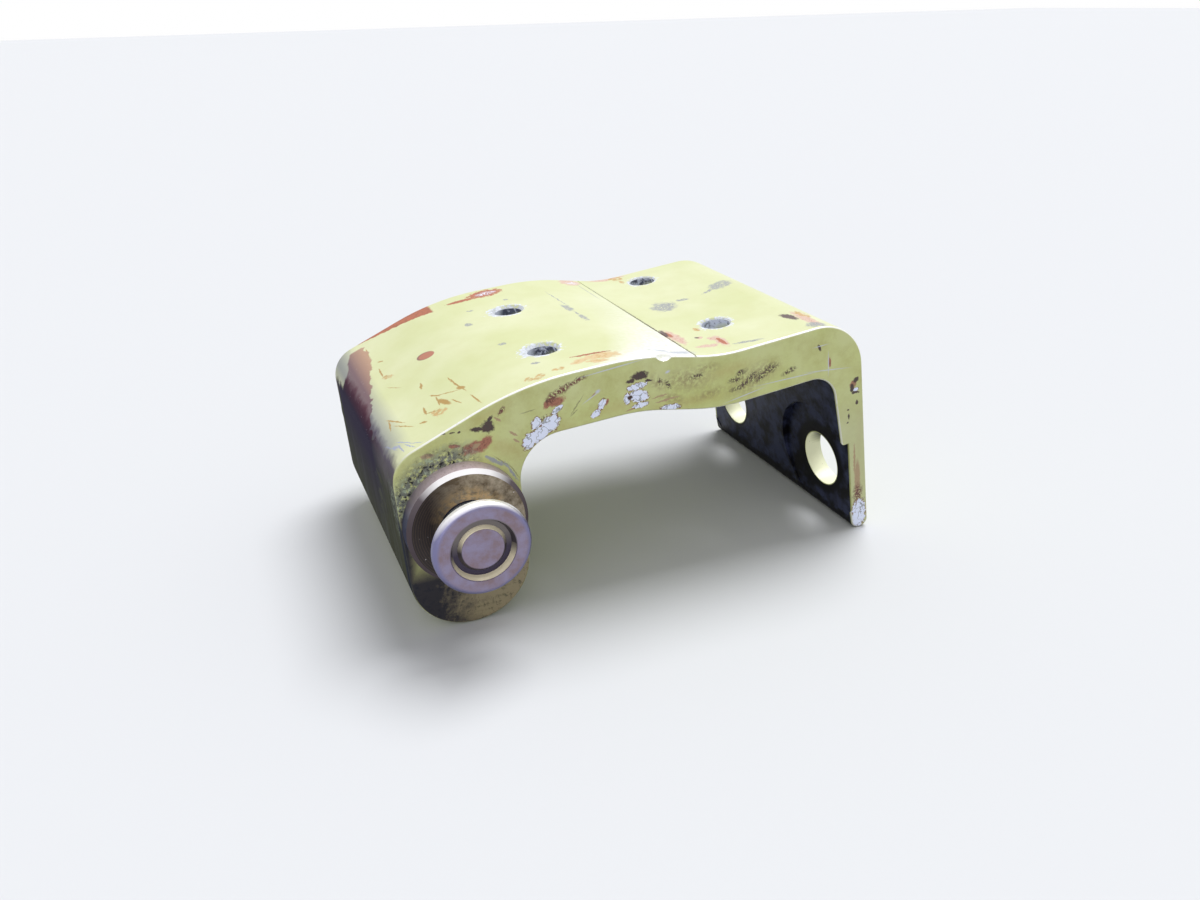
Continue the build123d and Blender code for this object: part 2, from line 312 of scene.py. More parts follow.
FACE_TAN = [
    (-3.6, 23.3, 0.8, 0.3, -1), (4.9, 26.3, 0.5, 0.14, -42), (56.4, 8.0, 2.8, 0.45, -84),
    (55.6, 11.0, 2.4, 0.15, -84), (6.7, 24.2, 0.6, 0.13, -36), (7.0, 23.2, 0.4, 0.13, -36),
    (2.2, 23.5, 0.5, 0.25, 30), (16.9, 27.3, 0.4, 0.12, 39), (22.0, 24.6, 1.0, 0.1, 10),
    (26.6, 25.0, 1.6, 0.12, 6), (25.6, 25.6, 1.0, 0.1, 8),
]
FACE_BARE = [
    (8.7, 22.9, 1.1, 0.75, 50), (10.0, 23.5, 1.2, 0.8, 50), (11.3, 24.6, 1.2, 0.95, 50),
    (9.6, 24.9, 0.7, 0.6, 60), (12.2, 26.2, 0.8, 0.3, 30), (17.9, 25.9, 0.7, 0.4, 62),
    (17.1, 24.8, 0.6, 0.4, 24), (22.5, 27.4, 1.2, 0.4, 8), (22.7, 26.1, 1.3, 0.7, -14),
    (21.2, 26.0, 0.7, 0.4, -85), (23.0, 24.9, 1.0, 0.3, 4), (27.1, 23.9, 1.3, 0.4, -4),
    (57.2, 2.3, 2.2, 1.1, -84), (54.7, 21.6, 0.4, 0.25, 0),
]
FACE_SCRIBES = [
    (37.6, 23.7, 2.4, 0.06, 12), (44.2, 24.9, 4.2, 0.06, 3), (50.0, 25.1, 2.8, 0.06, -3),
    (50.0, 26.0, 1.4, 0.07, -85), (19.3, 30.2, 3.4, 0.07, 7), (16.6, 27.0, 1.1, 0.06, 30),
    (48.6, 28.6, 1.0, 0.05, 6), (17.4, 27.6, 0.3, 0.2, 30), (26.6, 28.6, 0.3, 0.15, 20),
]
FACE_FAINT = [
    (14.7, 26.3, 1.3, 0.07, 54), (14.3, 25.4, 0.5, 0.07, 40), (8.6, 26.6, 0.8, 0.06, 8),
    (5.2, 20.9, 1.2, 0.07, -42), (6.5, 19.5, 1.2, 0.06, -60),
]
FACE_SMUDGES = [
    (29.4, 27.1, 2.8, 1.2, -9), (27.4, 25.0, 1.6, 0.5, -20), (32.5, 24.8, 1.8, 0.5, 10),
    (25.4, 27.4, 1.2, 0.7, -40), (31.8, 28.2, 1.6, 0.5, 0), (38.6, 25.8, 3.0, 1.3, 22),
]
FACE_SCUFFS = [
    (4.2, 21.2, 1.4, 0.22, -37), (6.2, 19.4, 1.4, 0.14, -62), (5.4, 20.5, 0.8, 0.08, -48),
]
FACE_STAINS = [
    (11.5, 22.6, 2.6, 1.0, 30), (6.0, 22.4, 2.4, 0.8, -30), (20.0, 25.2, 3.5, 0.8, 6),
    (56.2, 13.0, 5.0, 0.5, -84), (30.0, 24.2, 4.0, 0.6, 0), (3.6, 27.0, 2.5, 0.6, 20),
    (35.0, 27.5, 3.0, 0.7, 10),
]
FAR_STRIP_SLOPE = 0.3
FAR_STRIP_EDGE = 38.2
FAR_STRIP_ENDS = (-4.5, 6.6)
BOW_HOLES = [(14.0, 9.7), (15.3, 27.4)]
PAD_HOLES = [(39.0, 10.6), (39.3, 34.6)]
SCREW_HOLE_RADIUS = 1.9
HALF_BOLT_SPACING = 12.7
BOLT_HOLE_HEIGHT = 8.34
BOLT_HOLE_RADIUS = 4.0
BOLT_HOLES = [(ARM_WIDTH / 2 - HALF_BOLT_SPACING, BOLT_HOLE_HEIGHT),
              (ARM_WIDTH / 2 + HALF_BOLT_SPACING, BOLT_HOLE_HEIGHT)]
CREASE_X = 30.5
CREASE = [(CREASE_X, 19.0, 21.0, 0.17, -90)]
FAINT_LINES = [(29.4, 33.0, 5.0, 0.12, -90), (CREASE_X, 34.0, 5.0, 0.1, -90)]
STRIP_PAST_AXIS = 29.0
STRIP_TAPER = 60.0
STRIP_TAPER_START = 5.0
SHOULDER_WEAR_EDGE = (-7.4, -3.6)
SHOULDER_WEAR_ACROSS = (13.5, 31.5)
KEPT_PAINT_EDGE = 14.6
KEPT_PAINT_SLOPE = -0.25
LEG_STREAK_STRETCH = (0.2, 0.5, 0.07)
SOIL_STRENGTH = 0.92

# Where wear and soil begin: first the place where there is none, then the place where it is full.
GREYED_ALONG = (-4.5, -7.0)
GREYED_ACROSS = (1.0, 5.0)
STRIP_ACROSS = (34.0, 1.0)
STRIP_END = (CREASE_X + 0.2, CREASE_X - 0.2)
CREASE_ACROSS = (34.0, 12.0)
SHOULDER_ACROSS = (6.0, 13.0)
SHOULDER_FAR_END = (37.8, 37.4)
SHOULDER_HEIGHT = (6.0, 18.0)
SHOULDER_LIT_HEIGHT = (23.6, 24.8)
SHOULDER_SHADE_HEIGHT = (23.4, 20.6)
SALT_HEIGHT = (19.0, 22.0)
KEPT_PAINT_ACROSS = (33.4, 33.9)
KEPT_PAINT_HEIGHT = (21.8, 22.6)
KEPT_PAINT_SHADE_HEIGHT = (24.5, 22.5)
LEG_ALONG = (-2.0, -4.0)
LEG_TOP_HEIGHT = (20.0, 25.0)
PALER_FOOT_ALONG = (50.0, 53.0)
PALER_FOOT_HEIGHT = (24.0, 16.0)
GRIME_FROM_AXIS = (10.2, 8.4)
GRIME_ALONG = (3.0, -0.5)
GRIME_HEIGHT = (12.0, 16.0)
GRIME_ROUND_CORNER = (4.0, 1.5)
BESIDE_BUSH_ALONG = (-5.5, -7.0)
BESIDE_BUSH_HEIGHT = (17.0, 14.5)
LUG_HEIGHT = (10.0, 7.0)
LUG_ALONG = (12.0, 10.0)
LUG_DARKEST_ALONG = (8.5, 3.5)
DARKENED_CORNER_ACROSS = (1.5, 1.1)
FLANGE_ALONG = (43.5, 46.5)
FLANGE_TOP = (22.0, 21.0)
FOOT_SHADOW_HEIGHT = (5.0, 4.4)
BORES_ALONG = (40.0, 45.0)
BOW_EDGE_ALONG = (28.0, 34.0)
FAR_EDGE_ACROSS = (10.0, 20.0)
LEG_EDGE_ALONG = (14.0, 10.0)
LEG_EDGE_HEIGHT = (25.4, 22.6)


def ovals(holes, shift, length, width):
    """An unturned oval mark for each hole, moved along by the shift."""
    return [(along + shift, across, length, width, 0) for along, across in holes]


class ArmPaint(Finish):
    """The arm's paint and its wear. Each method lays its marks over those called before it."""

    def __init__(self):
        super().__init__("yellow_green_paint")
        self.torn = self.ragged(0.45, 1.0)
        self.fine_torn = self.ragged(0.22, 2.4)
        self.grain = self.noise(1.7, 4.0, 0.65)
        self.speckle = self.noise(3.4, 3.0, 0.65)
        self.wander = self.noise(0.55, 4.0, 0.6)
        self.on_top = self.ramp(self.facing_z, 0.25, 0.5)
        self.on_face = self.all_of(self.ramp(self.facing_y, -0.6, -0.85),
                                   self.ramp(self.y, 0.5, 0.3))

    def top_marks(self, place, spots, roughened=None, soft=0.2):
        return self.all_of(self.marks(place, "z", spots, roughened, soft), self.on_top)

    def face_marks(self, place, spots, roughened=None, soft=0.2):
        return self.all_of(self.marks(place, "y", spots, roughened, soft), self.on_face)

    def coat(self):
        """The paint, more yellow on the sides, with soiled, stained and greyed patches."""
        clouds = self.ramp(self.noise(0.09, 3.0), 0.35, 0.7)
        side_paint = self.mix(clouds, PAINT_SIDE, PAINT_SIDE_PALE)
        self.colour = self.mix(self.on_top, side_paint, self.mix(clouds, PAINT, PAINT_PALE))
        soil = self.ramp(self.noise(0.3, 5.0, 0.7), 0.42, 0.75)
        self.cover(PAINT_SOILED, soil, self.level(self.on_top, 0.55, 0.15))
        self.cover(PAINT_OCHRE, self.face_marks(self.torn, FACE_STAINS, self.grain, 0.7),
                   strength=0.3)
        self.cover(PAINT_GREY, self.on_top, self.ramp(self.x, *GREYED_ALONG),
                   self.ramp(self.y, *GREYED_ACROSS))

    def worn_and_lit_strip(self):
        """Pale worn strip with a painted highlight, widening to the near face, and the crease that
        ends it.
        """
        taper = self.math("DIVIDE", STRIP_TAPER, self.math("ADD", self.y, STRIP_TAPER_START))
        into_strip = self.math("SUBTRACT", self.x, self.math("SUBTRACT", STRIP_PAST_AXIS, taper))
        strip = self.all_of(self.ramp(into_strip, -2.5, 3.5), self.on_top,
                            self.ramp(self.x, *STRIP_END), self.ramp(self.y, *STRIP_ACROSS))
        self.cover(BARE_AND_HIGHLIGHT, strip, self.ramp(self.grain, 0.0, 0.6))
        self.cover(BARE_SHADE, self.top_marks(self.torn, STRIP_RUBS, self.grain, 0.5), strength=0.8)
        self.cover(CHIP_BROWN, self.top_marks(self.fine_torn, CREASE),
                   self.ramp(self.y, *CREASE_ACROSS), strength=0.8)
        self.cover(GREY_RUB, self.top_marks(self.fine_torn, FAINT_LINES), strength=0.5)
        return strip

    def far_strip(self):
        """The long chip beside the far edge, bounded by a slanting line."""
        torn_x, torn_y = self.split(self.fine_torn)[:2]
        past_line = self.pushed(self.pushed(torn_y, torn_x, FAR_STRIP_SLOPE), self.grain, 0.9)
        past_line = self.math("SUBTRACT", past_line, FAR_STRIP_EDGE)
        return self.all_of(self.ramp(past_line, 0.35, 0.5), self.between(torn_x, *FAR_STRIP_ENDS))

    def top_chips(self):
        """Chips down to the primer, rubs and scratches on the upper side."""
        grain, speckle = self.grain, self.speckle
        pale_chips = self.top_marks(self.torn, TOP_PRIMER_PALE, grain)
        self.cover(self.mix(self.ramp(speckle, 0.52, 0.72), PRIMER_PALE, PRIMER), pale_chips)
        self.cover(self.mix(self.ramp(speckle, 0.42, 0.6), TAN, TAN_SCRATCH),
                   self.top_marks(self.torn, TOP_TAN, grain), self.ramp(grain, 0.62, 0.45))
        self.cover(self.mix(self.ramp(grain, 0.5, 0.62), TAN_PALE, TAN),
                   self.top_marks(self.torn, TOP_TAN_SOFT, grain))
        chips = self.marks(self.fine_torn, "z", TOP_PRIMER, grain, 0.12)
        chips = self.all_of(self.any_of(chips, self.far_strip()), self.on_top)
        self.cover(self.mix(self.ramp(grain, 0.45, 0.75), PRIMER, PRIMER_DEEP), chips)
        to_chip = self.nearest(self.place, "z", [OVAL_CHIP])
        self.cover(PRIMER_BROWN, self.ramp(to_chip, 1.1, 1.0), self.on_top)
        to_middle = self.nearest(self.place, "z", [OVAL_CHIP_MIDDLE])
        self.cover(PRIMER, self.ramp(to_middle, 0.98, 0.9), self.on_top)
        self.cover(BARE_METAL, self.top_marks(self.torn, TOP_SPECKS, speckle),
                   self.ramp(speckle, 0.48, 0.55))
        self.cover(GREY_RUB, self.top_marks(self.torn, TOP_GREY, grain),
                   self.ramp(speckle, 0.35, 0.5))
        self.cover(TAN_SCRATCH, self.top_marks(self.fine_torn, TOP_SCRATCHES))
        self.cover(BLUE_GREY, self.top_marks(self.fine_torn, CORNER_SCRATCHES))
        self.cover(CHIP_BROWN, self.top_marks(self.fine_torn, TOP_DARK, grain))
        return self.any_of(chips, pale_chips)

    def screw_holes(self):
        """Bare rims round the four screw holes, and walls of painted shade, painted lit on one side.
        """
        radius = SCREW_HOLE_RADIUS
        rims = ovals(BOW_HOLES, -0.3, radius + 0.75, radius + 0.5)
        rims += ovals(PAD_HOLES, -0.1, radius + 0.4, radius + 0.3)
        self.cover(self.mix(self.ramp(self.grain, 0.4, 0.6), BARE_METAL, BARE_SHADE),
                   self.top_marks(self.place, rims, self.grain, 0.06), strength=0.85)
        walls = ovals(BOW_HOLES + PAD_HOLES, 0.0, radius + 0.1, radius + 0.1)
        brighter = self.pushed(self.pushed(self.grain, self.y, -0.004), self.x, 0.006)
        lit_wall = self.any_of(self.marks(self.torn, "z", ovals(BOW_HOLES, -1.5, 1.5, 2.4)),
                               self.ramp(brighter, 0.53, 0.68))
        self.cover(self.mix(lit_wall, HOLE_SHADE, BARE_METAL),
                   self.marks(self.place, "z", walls, soft=0.03),
                   self.ramp(self.facing_z, 0.3, 0.1))

    def shoulder_and_leg(self):
        """The shoulder, worn past a ragged edge to primer with painted light and shade, and the leg's
        outside.
        """
        wear_edge = self.ramp(self.y, *SHOULDER_WEAR_ACROSS, *SHOULDER_WEAR_EDGE)
        past_edge = self.math("SUBTRACT", self.math("SUBTRACT", wear_edge, self.x), 1.1)
        past_edge = self.pushed(past_edge, self.wander, 2.2)
        past_kept = self.pushed(self.math("ADD", self.x, KEPT_PAINT_EDGE), self.y, KEPT_PAINT_SLOPE)
        past_kept = self.pushed(past_kept, self.wander, 0.9)
        kept_paint = self.all_of(
            self.ramp(past_kept, 0.15, -0.1),
            self.ramp(self.pushed(self.y, self.wander, 2.0), *KEPT_PAINT_ACROSS),
            self.ramp(self.pushed(self.z, self.wander, 3.0), *KEPT_PAINT_HEIGHT))
        lost_paint = self.all_but(kept_paint)
        shoulder = self.all_of(
            self.ramp(past_edge, -0.06, 0.06), self.ramp(self.y, *SHOULDER_ACROSS),
            self.ramp(self.y, *SHOULDER_FAR_END), self.ramp(self.z, *SHOULDER_HEIGHT), lost_paint)
        # The kept paint greys lower down: painted shade where the shoulder turns away from the light.
        self.cover(GREY_GRIME_AND_SHADE, kept_paint, self.ramp(self.z, *KEPT_PAINT_SHADE_HEIGHT), strength=0.6)

        # The leg's outside is painted near black: painted shade and dark reflection over dirt,
        # streaked downward.
        frayed = self.pushed(self.math("SUBTRACT", self.facing_x, 0.15), self.wander, 0.3)
        outside_leg = self.all_of(self.ramp(frayed, -0.74, -0.92), self.ramp(self.x, *LEG_ALONG),
                                  lost_paint)
        down_leg = self.add("ShaderNodeVectorMath", self.place, LEG_STREAK_STRETCH,
                            operation="MULTIPLY").outputs[0]
        streaks = self.ramp(self.noise(1.0, 5.0, 0.7, down_leg), 0.48, 0.62)
        leg_colour = self.mix(streaks, LEG_OUTSIDE_SHADE, LEG_STREAK)
        up_leg = self.ramp(self.pushed(self.z, self.wander, 5.0), *LEG_TOP_HEIGHT)
        self.cover(self.mix(up_leg, leg_colour, LEG_TOP), outside_leg, strength=0.93)

        # The shoulder's primer is painted as a highlight on top and as shade lower down, where it
        # turns away.
        shoulder_colour = self.mix(self.ramp(self.z, *SHOULDER_LIT_HEIGHT), PRIMER_WORN, PRIMER_LIT)
        shaded_lower_down = self.ramp(self.z, *SHOULDER_SHADE_HEIGHT)
        self.cover(self.mix(shaded_lower_down, shoulder_colour, PRIMER_SHADED), shoulder)
        self.cover(BARE_METAL, self.ramp(self.speckle, 0.69, 0.72), shoulder,
                   self.ramp(self.z, *SALT_HEIGHT), strength=0.7)
        return outside_leg

    def near_face(self):
        """Smudges, chips, bare spots and scribed lines on the near face."""
        grain, speckle = self.grain, self.speckle
        self.cover(PRIMER_BROWN, self.face_marks(self.torn, FACE_SMUDGES, grain, 0.8),
                   self.ramp(grain, 0.4, 0.6), strength=0.6)
        self.cover(CHIP_BROWN, self.face_marks(self.torn, FACE_SMEARS, grain, 0.5),
                   self.ramp(speckle, 0.45, 0.5))
        self.cover(CHIP_BROWN, self.face_marks(self.fine_torn, FACE_FAINT, soft=0.4), strength=0.5)
        self.cover(BLUE_GREY, self.face_marks(self.fine_torn, FACE_SCUFFS, grain), strength=0.8)
        primer = self.face_marks(self.fine_torn, FACE_PRIMER, grain)
        self.cover(self.mix(self.ramp(speckle, 0.48, 0.68), PRIMER_ROSE, PRIMER_BROWN), primer)
        self.cover(PAINT_PALE, self.on_face, self.ramp(self.x, *PALER_FOOT_ALONG),
                   self.ramp(self.z, *PALER_FOOT_HEIGHT), strength=0.6)
        self.cover(TAN_BROWN, self.face_marks(self.fine_torn, FACE_TAN))
        self.cover(self.mix(self.ramp(grain, 0.36, 0.5), CHIP_BROWN, PRIMER_BROWN),
                   self.face_marks(self.torn, FACE_SPECKLED, grain, 0.4),
                   self.ramp(speckle, 0.43, 0.48))

        to_bare = self.nearest(self.fine_torn, "y", FACE_BARE, grain)
        self.cover(PRIMER_DEEP, self.ramp(to_bare, 1.35, 1.15), self.on_face,
                   self.ramp(speckle, 0.47, 0.53))
        bare = self.all_of(self.ramp(to_bare, 1.1, 0.95), self.on_face)
        scallops = self.math("ABSOLUTE", self.math("SUBTRACT", self.noise(0.8, 2.0), 0.5))
        scalloped = self.mix(self.ramp(scallops, 0.025, 0.0), BARE_METAL, GREY_RUB)
        self.cover(self.mix(self.ramp(speckle, 0.66, 0.7), scalloped, PRIMER_BROWN), bare)
        self.cover(self.mix(self.ramp(speckle, 0.4, 0.6), CHIP_BROWN, LUG_DARK),
                   self.face_marks(self.fine_torn, FACE_DARK, grain))
        self.cover(BARE_METAL, self.face_marks(self.place, FACE_SCRIBES, soft=0.5), strength=0.9)
        return primer, bare

    def soiled_lug(self, outside_leg):
        """Grime round the near bush, and the brown lower end of the leg, darker leftward and beside
        the bush.
        """
        round_corner = self.all_of(outside_leg, self.ramp(self.y, *GRIME_ROUND_CORNER))
        grime = self.all_of(self.ramp(self.from_pin_axis(), *GRIME_FROM_AXIS),
                            self.ramp(self.x, *GRIME_ALONG), self.ramp(self.z, *GRIME_HEIGHT),
                            self.any_of(self.on_face, round_corner))
        crumbs = self.noise(1.3, 4.0, 0.75)
        self.cover(GREY_GRIME_AND_SHADE, grime, self.ramp(self.grain, 0.38, 0.5))
        self.cover(GRIME_PALE, grime, self.ramp(crumbs, 0.44, 0.4))
        self.cover(BLACK_GREASE_AND_SHADOW, grime, self.ramp(crumbs, 0.54, 0.6))

        beside_bush = self.all_of(self.ramp(self.x, *BESIDE_BUSH_ALONG),
                                  self.ramp(self.z, *BESIDE_BUSH_HEIGHT))
        lug = self.all_of(self.on_face, self.any_of(self.ramp(self.z, *LUG_HEIGHT), beside_bush),
                          self.ramp(self.x, *LUG_ALONG))
        self.cover(self.mix(self.ramp(crumbs, 0.52, 0.66), LUG_BROWN, LUG_DARK), lug,
                   strength=SOIL_STRENGTH)
        # The lug turns near black toward its left end and beside the bush.
        darker_leftward = self.ramp(self.pushed(self.x, self.noise(0.6, 5.0, 0.7), 14.0), *LUG_DARKEST_ALONG)
        darkened_corner = self.all_of(beside_bush, self.ramp(self.y, *DARKENED_CORNER_ACROSS))
        darkened_lug = self.any_of(self.all_of(lug, darker_leftward), darkened_corner)
        darkened_lug = self.all_of(darkened_lug, SOIL_STRENGTH)
        self.cover(LUG_DARKEST, darkened_lug)
        return grime, darkened_lug, darkened_corner

    def shaded_greasy_flange(self):
        """Painted shade and grease inside the flange, painted shadow at its foot, painted-lit bores,
        dark rubs.
        """
        radius = BOLT_HOLE_RADIUS
        openings = ovals(BOLT_HOLES, 0.0, radius + 0.1, radius + 0.1)
        in_holes = self.marks(self.place, "x", openings, soft=0.02)
        inside_flange = self.all_of(
            self.ramp(self.facing_x, 0.3, 0.1), self.ramp(self.x, *FLANGE_ALONG),
            self.any_of(self.ramp(self.facing_z, 0.5, 0.3), self.ramp(self.z, *FLANGE_TOP)),
            self.between(self.y, 0.4, ARM_WIDTH - 0.4, 0.2), self.all_but(in_holes))
        # The inside of the flange is painted dark navy as shade, smeared with black grease.
        navy_shade_and_smears = self.mix(self.ramp(self.noise(0.35, 5.0, 0.65), 0.4, 0.6), NAVY_FLANGE_SHADE, BLACK_GREASE_AND_SHADOW)
        # The flange's foot is painted black as its contact shadow on the ground.
        foot_shadow = self.pushed(self.z, self.noise(0.4, 5.0, 0.7), 6.0)
        foot_shadow = self.ramp(foot_shadow, *FOOT_SHADOW_HEIGHT)
        self.cover(self.mix(foot_shadow, navy_shade_and_smears, BLACK_GREASE_AND_SHADOW), inside_flange)
        # The bores are painted almost white, as light falling into them from behind, with a few brown
        # specks.
        lit_bores = self.all_of(in_holes, self.ramp(self.x, *BORES_ALONG),
                            self.ramp(self.math("ABSOLUTE", self.facing_x), 0.8, 0.6))
        self.cover(PAINT_BORE_LIT, lit_bores)
        self.cover(CHIP_BROWN, lit_bores, self.ramp(self.speckle, 0.7, 0.74))
        (near_hole, height), (far_hole, _) = BOLT_HOLES
        rubbed = self.any_of(
            self.ring(near_hole + 0.3, height + 0.2, radius - 0.5, radius + 1.2, 0.8),
            self.ring(far_hole, height, radius, radius + 0.3, 0.3))
        self.cover(BLACK_GREASE_AND_SHADOW, rubbed, inside_flange)
        return inside_flange

    def bright_edges(self, darkened_corner):
        """Bare metal and a painted highlight on the rounded edges, most on the upper and nearer ones.
        """
        sideways = self.math("ABSOLUTE", self.facing_y)
        on_round = self.all_of(self.ramp(sideways, 0.2, 0.35), self.ramp(sideways, 0.95, 0.85))
        bared = self.level(self.ramp(self.x, *BOW_EDGE_ALONG), 0.35, 0.75)
        bared = self.level(self.ramp(self.facing_z, 0.2, 0.5), bared, 1.0)
        nearer = self.level(self.ramp(self.y, *FAR_EDGE_ACROSS), 1.0, 0.6)
        at_sides = self.all_but(self.between(self.y, 0.5, ARM_WIDTH - 0.5, 0.2))
        on_leg = self.all_of(self.ramp(self.x, *LEG_EDGE_ALONG),
                             self.ramp(self.z, *LEG_EDGE_HEIGHT))
        edges = self.all_of(on_round, bared, nearer, at_sides, self.ramp(self.grain, 0.28, 0.42),
                            self.level(on_leg, 1.0, 0.12), self.all_but(darkened_corner))
        self.cover(BARE_AND_HIGHLIGHT, edges)
        return edges


def painted_arm():
    paint = ArmPaint()
    paint.coat()
    strip = paint.worn_and_lit_strip()
    top_chips = paint.top_chips()
    paint.screw_holes()
    outside_leg = paint.shoulder_and_leg()
    face_primer, face_bare = paint.near_face()
    grime, darkened_lug, darkened_corner = paint.soiled_lug(outside_leg)
    inside_flange = paint.shaded_greasy_flange()
    edges = paint.bright_edges(darkened_corner)

    metal = paint.any_of(paint.all_of(strip, 0.3), paint.all_of(edges, 0.3),
                         paint.all_of(face_bare, 0.7))
    roughness = paint.level(paint.any_of(top_chips, face_primer, face_bare, grime), 0.34, 0.62)
    roughness = paint.level(inside_flange, roughness, 0.4)
    roughness = paint.level(outside_leg, roughness, 0.9)
    shine = paint.level(paint.any_of(outside_leg, inside_flange, darkened_lug), 0.5, 0.12)
    return paint.shade(roughness, metal, paint.grain, shine)


dress("hinge_arm", painted_arm())


# The two flanged bushes: turned steel rings pressed into the lug from both sides. The flange stands
# proud of the paint. Old grease has stained its face brown and gold, and the face has painted glints.
# Its corner and sides carry a painted highlight on top and painted shade below.
BUSH_SIDE = srgb(208, 190, 198)
BUSH_SIDE_SHADED = srgb(50, 54, 76)
BUSH_FACE = srgb(194, 182, 160)
BUSH_GOLD = srgb(236, 202, 146)
BUSH_BROWN = srgb(112, 98, 78)
BUSH_DARK = srgb(50, 42, 42)
BUSH_CORNER = srgb(96, 86, 92)
BUSH_CORNER_LIT = srgb(250, 248, 250)
BUSH_CORNER_START = 6.7
BUSH_TURNING_MARKS = 22.0


def worn_bush():
    bush = Finish("stained_steel")
    from_middle = bush.math("ABSOLUTE", bush.math("SUBTRACT", bush.y, ARM_WIDTH / 2))
    from_axis = bush.from_pin_axis()
    outward = bush.math("ABSOLUTE", bush.facing_y)
    face = bush.all_of(bush.ramp(outward, 0.9, 0.98), bush.ramp(from_middle, 10.0, 15.0))
    corner = bush.all_of(bush.ramp(outward, 0.3, 0.45), bush.ramp(outward, 0.97, 0.9),
                         bush.ramp(from_axis, BUSH_CORNER_START - 0.1, BUSH_CORNER_START))
    patches = bush.noise(0.45, 5.0, 0.7)
    fine = bush.noise(3.0, 3.0, 0.6)
    rings = bush.math("SINE", bush.math("MULTIPLY", from_axis, BUSH_TURNING_MARKS))

    face_colour = bush.mix(bush.ramp(patches, 0.4, 0.62), BUSH_FACE, BUSH_BROWN)
    gilded = bush.all_of(bush.ramp(bush.pushed(from_axis, patches, 2.0), 6.6, 5.2),
                         bush.ramp(bush.noise(1.2, 4.0, 0.7), 0.42, 0.56), 0.75)
    face_colour = bush.mix(gilded, face_colour, BUSH_GOLD)
    # The face is darker toward its left side.
    darker_left = bush.ramp(bush.pushed(bush.math("SUBTRACT", bush.x, 2.0), patches, 4.0), 0.0, -4.5)
    face_colour = bush.mix(darker_left, face_colour, BUSH_DARK)
    # Painted glints fleck the face.
    glints = bush.ramp(bush.noise(1.9, 2.0), 0.73, 0.75)
    face_colour = bush.mix(glints, face_colour, BUSH_CORNER_LIT)

    # The sides are painted light on top and as shade underneath.
    side_lit = bush.ramp(bush.facing_z, 0.3, 1.0)
    bush.colour = bush.mix(side_lit, BUSH_SIDE_SHADED, BUSH_SIDE)
    bush.cover(BUSH_BROWN, bush.ramp(fine, 0.5, 0.75), side_lit, strength=0.5)
    bush.cover(face_colour, face)
    bush.cover(BUSH_GOLD, bush.ramp(rings, 0.8, 1.0), face, strength=0.08)
    # The corner is painted with a highlight on top and darker shade lower down.
    bush.cover(bush.mix(bush.ramp(bush.facing_z, 0.46, 0.64), BUSH_CORNER, BUSH_CORNER_LIT), corner)

    greasy = bush.all_of(bush.ramp(outward, 0.9, 0.8), bush.ramp(bush.facing_z, 0.55, 0.1))
    metal = bush.level(greasy, bush.level(corner, 0.3, 0.2), 0.0)
    roughness = bush.level(face, bush.level(fine, 0.3, 0.5), 0.5)
    roughness = bush.level(greasy, roughness, 0.8)
    shine = bush.level(greasy, 0.5, 0.15)
    return bush.shade(roughness, metal, bush.pushed(fine, rings, 0.03), shine)


bush_finish = worn_bush()
dress("near_bush", bush_finish)
dress("far_bush", bush_finish)


# The pivot pin: a turned steel pin through both bushes, with a round head on the near side. The head
# has a turned groove round a sunken boss, painted with shade and a lit lower slope, and its worn rim
# is bluer than its lilac-brown face, with a painted highlight along the top.
PIN_FACE = srgb(146, 138, 164)
PIN_RIM = srgb(126, 124, 160)
PIN_RIM_LIT = srgb(252, 250, 252)
PIN_BROWN = srgb(136, 118, 126)
PIN_SLOPE_LIT = srgb(252, 240, 210)
PIN_TOP_SHADE = srgb(112, 106, 104)
PIN_WALL_SHADED = srgb(70, 64, 70)
PIN_SHADE = srgb(64, 58, 74)
PIN_SHANK = srgb(168, 168, 172)
PIN_TURNING_MARKS = 30.0
HEAD_RADIUS = (pin_high.x - pin_low.x) / 2 * MM_IN_METRE
GROOVE_RADIUS = 0.661 * HEAD_RADIUS
BOSS_RADIUS = 0.435 * HEAD_RADIUS
HEAD_ACROSS = (-3.0, -6.5)


def worn_pin():
    steel = Finish("worn_steel")
    from_axis = steel.from_pin_axis()
    patches = steel.noise(0.5, 4.0, 0.65)
    fine = steel.noise(3.5, 3.0, 0.6)
    rings = steel.math("SINE", steel.math("MULTIPLY", from_axis, PIN_TURNING_MARKS))

    steel.colour = steel.mix(steel.ramp(patches, 0.35, 0.65), PIN_FACE, PIN_BROWN)
    rim = steel.ramp(steel.pushed(from_axis, fine, 0.3), HEAD_RADIUS - 0.6, HEAD_RADIUS - 0.2)
    # The rim has a painted highlight along its top.
    steel.cover(steel.mix(steel.ramp(steel.facing_z, 0.35, 0.8), PIN_RIM, PIN_RIM_LIT), rim)
    # The groove is painted as shade; its slopes are painted lit where they face up and shaded below.
    groove = steel.all_of(steel.ramp(from_axis, BOSS_RADIUS - 0.1, BOSS_RADIUS),
                          steel.ramp(from_axis, GROOVE_RADIUS + 0.15, GROOVE_RADIUS))
    above_axis = steel.ramp(steel.z, PIN_AXIS_HEIGHT - 0.5, PIN_AXIS_HEIGHT + 1.5)
    steel.cover(steel.mix(above_axis, PIN_SHADE, PIN_TOP_SHADE), groove)
    slopes = steel.all_of(groove, steel.ramp(steel.math("ABSOLUTE", steel.facing_y), 0.95, 0.85))
    steel.cover(steel.mix(steel.ramp(steel.facing_z, 0.0, 0.4), PIN_WALL_SHADED, PIN_SLOPE_LIT), slopes)
    steel.colour = steel.mix(steel.ramp(steel.y, *HEAD_ACROSS), PIN_SHANK, steel.colour)

    roughness = steel.level(fine, 0.26, 0.46)
    metal = steel.level(slopes, 0.85, 0.2)
    return steel.shade(roughness, metal, steel.pushed(fine, rings, 0.2))


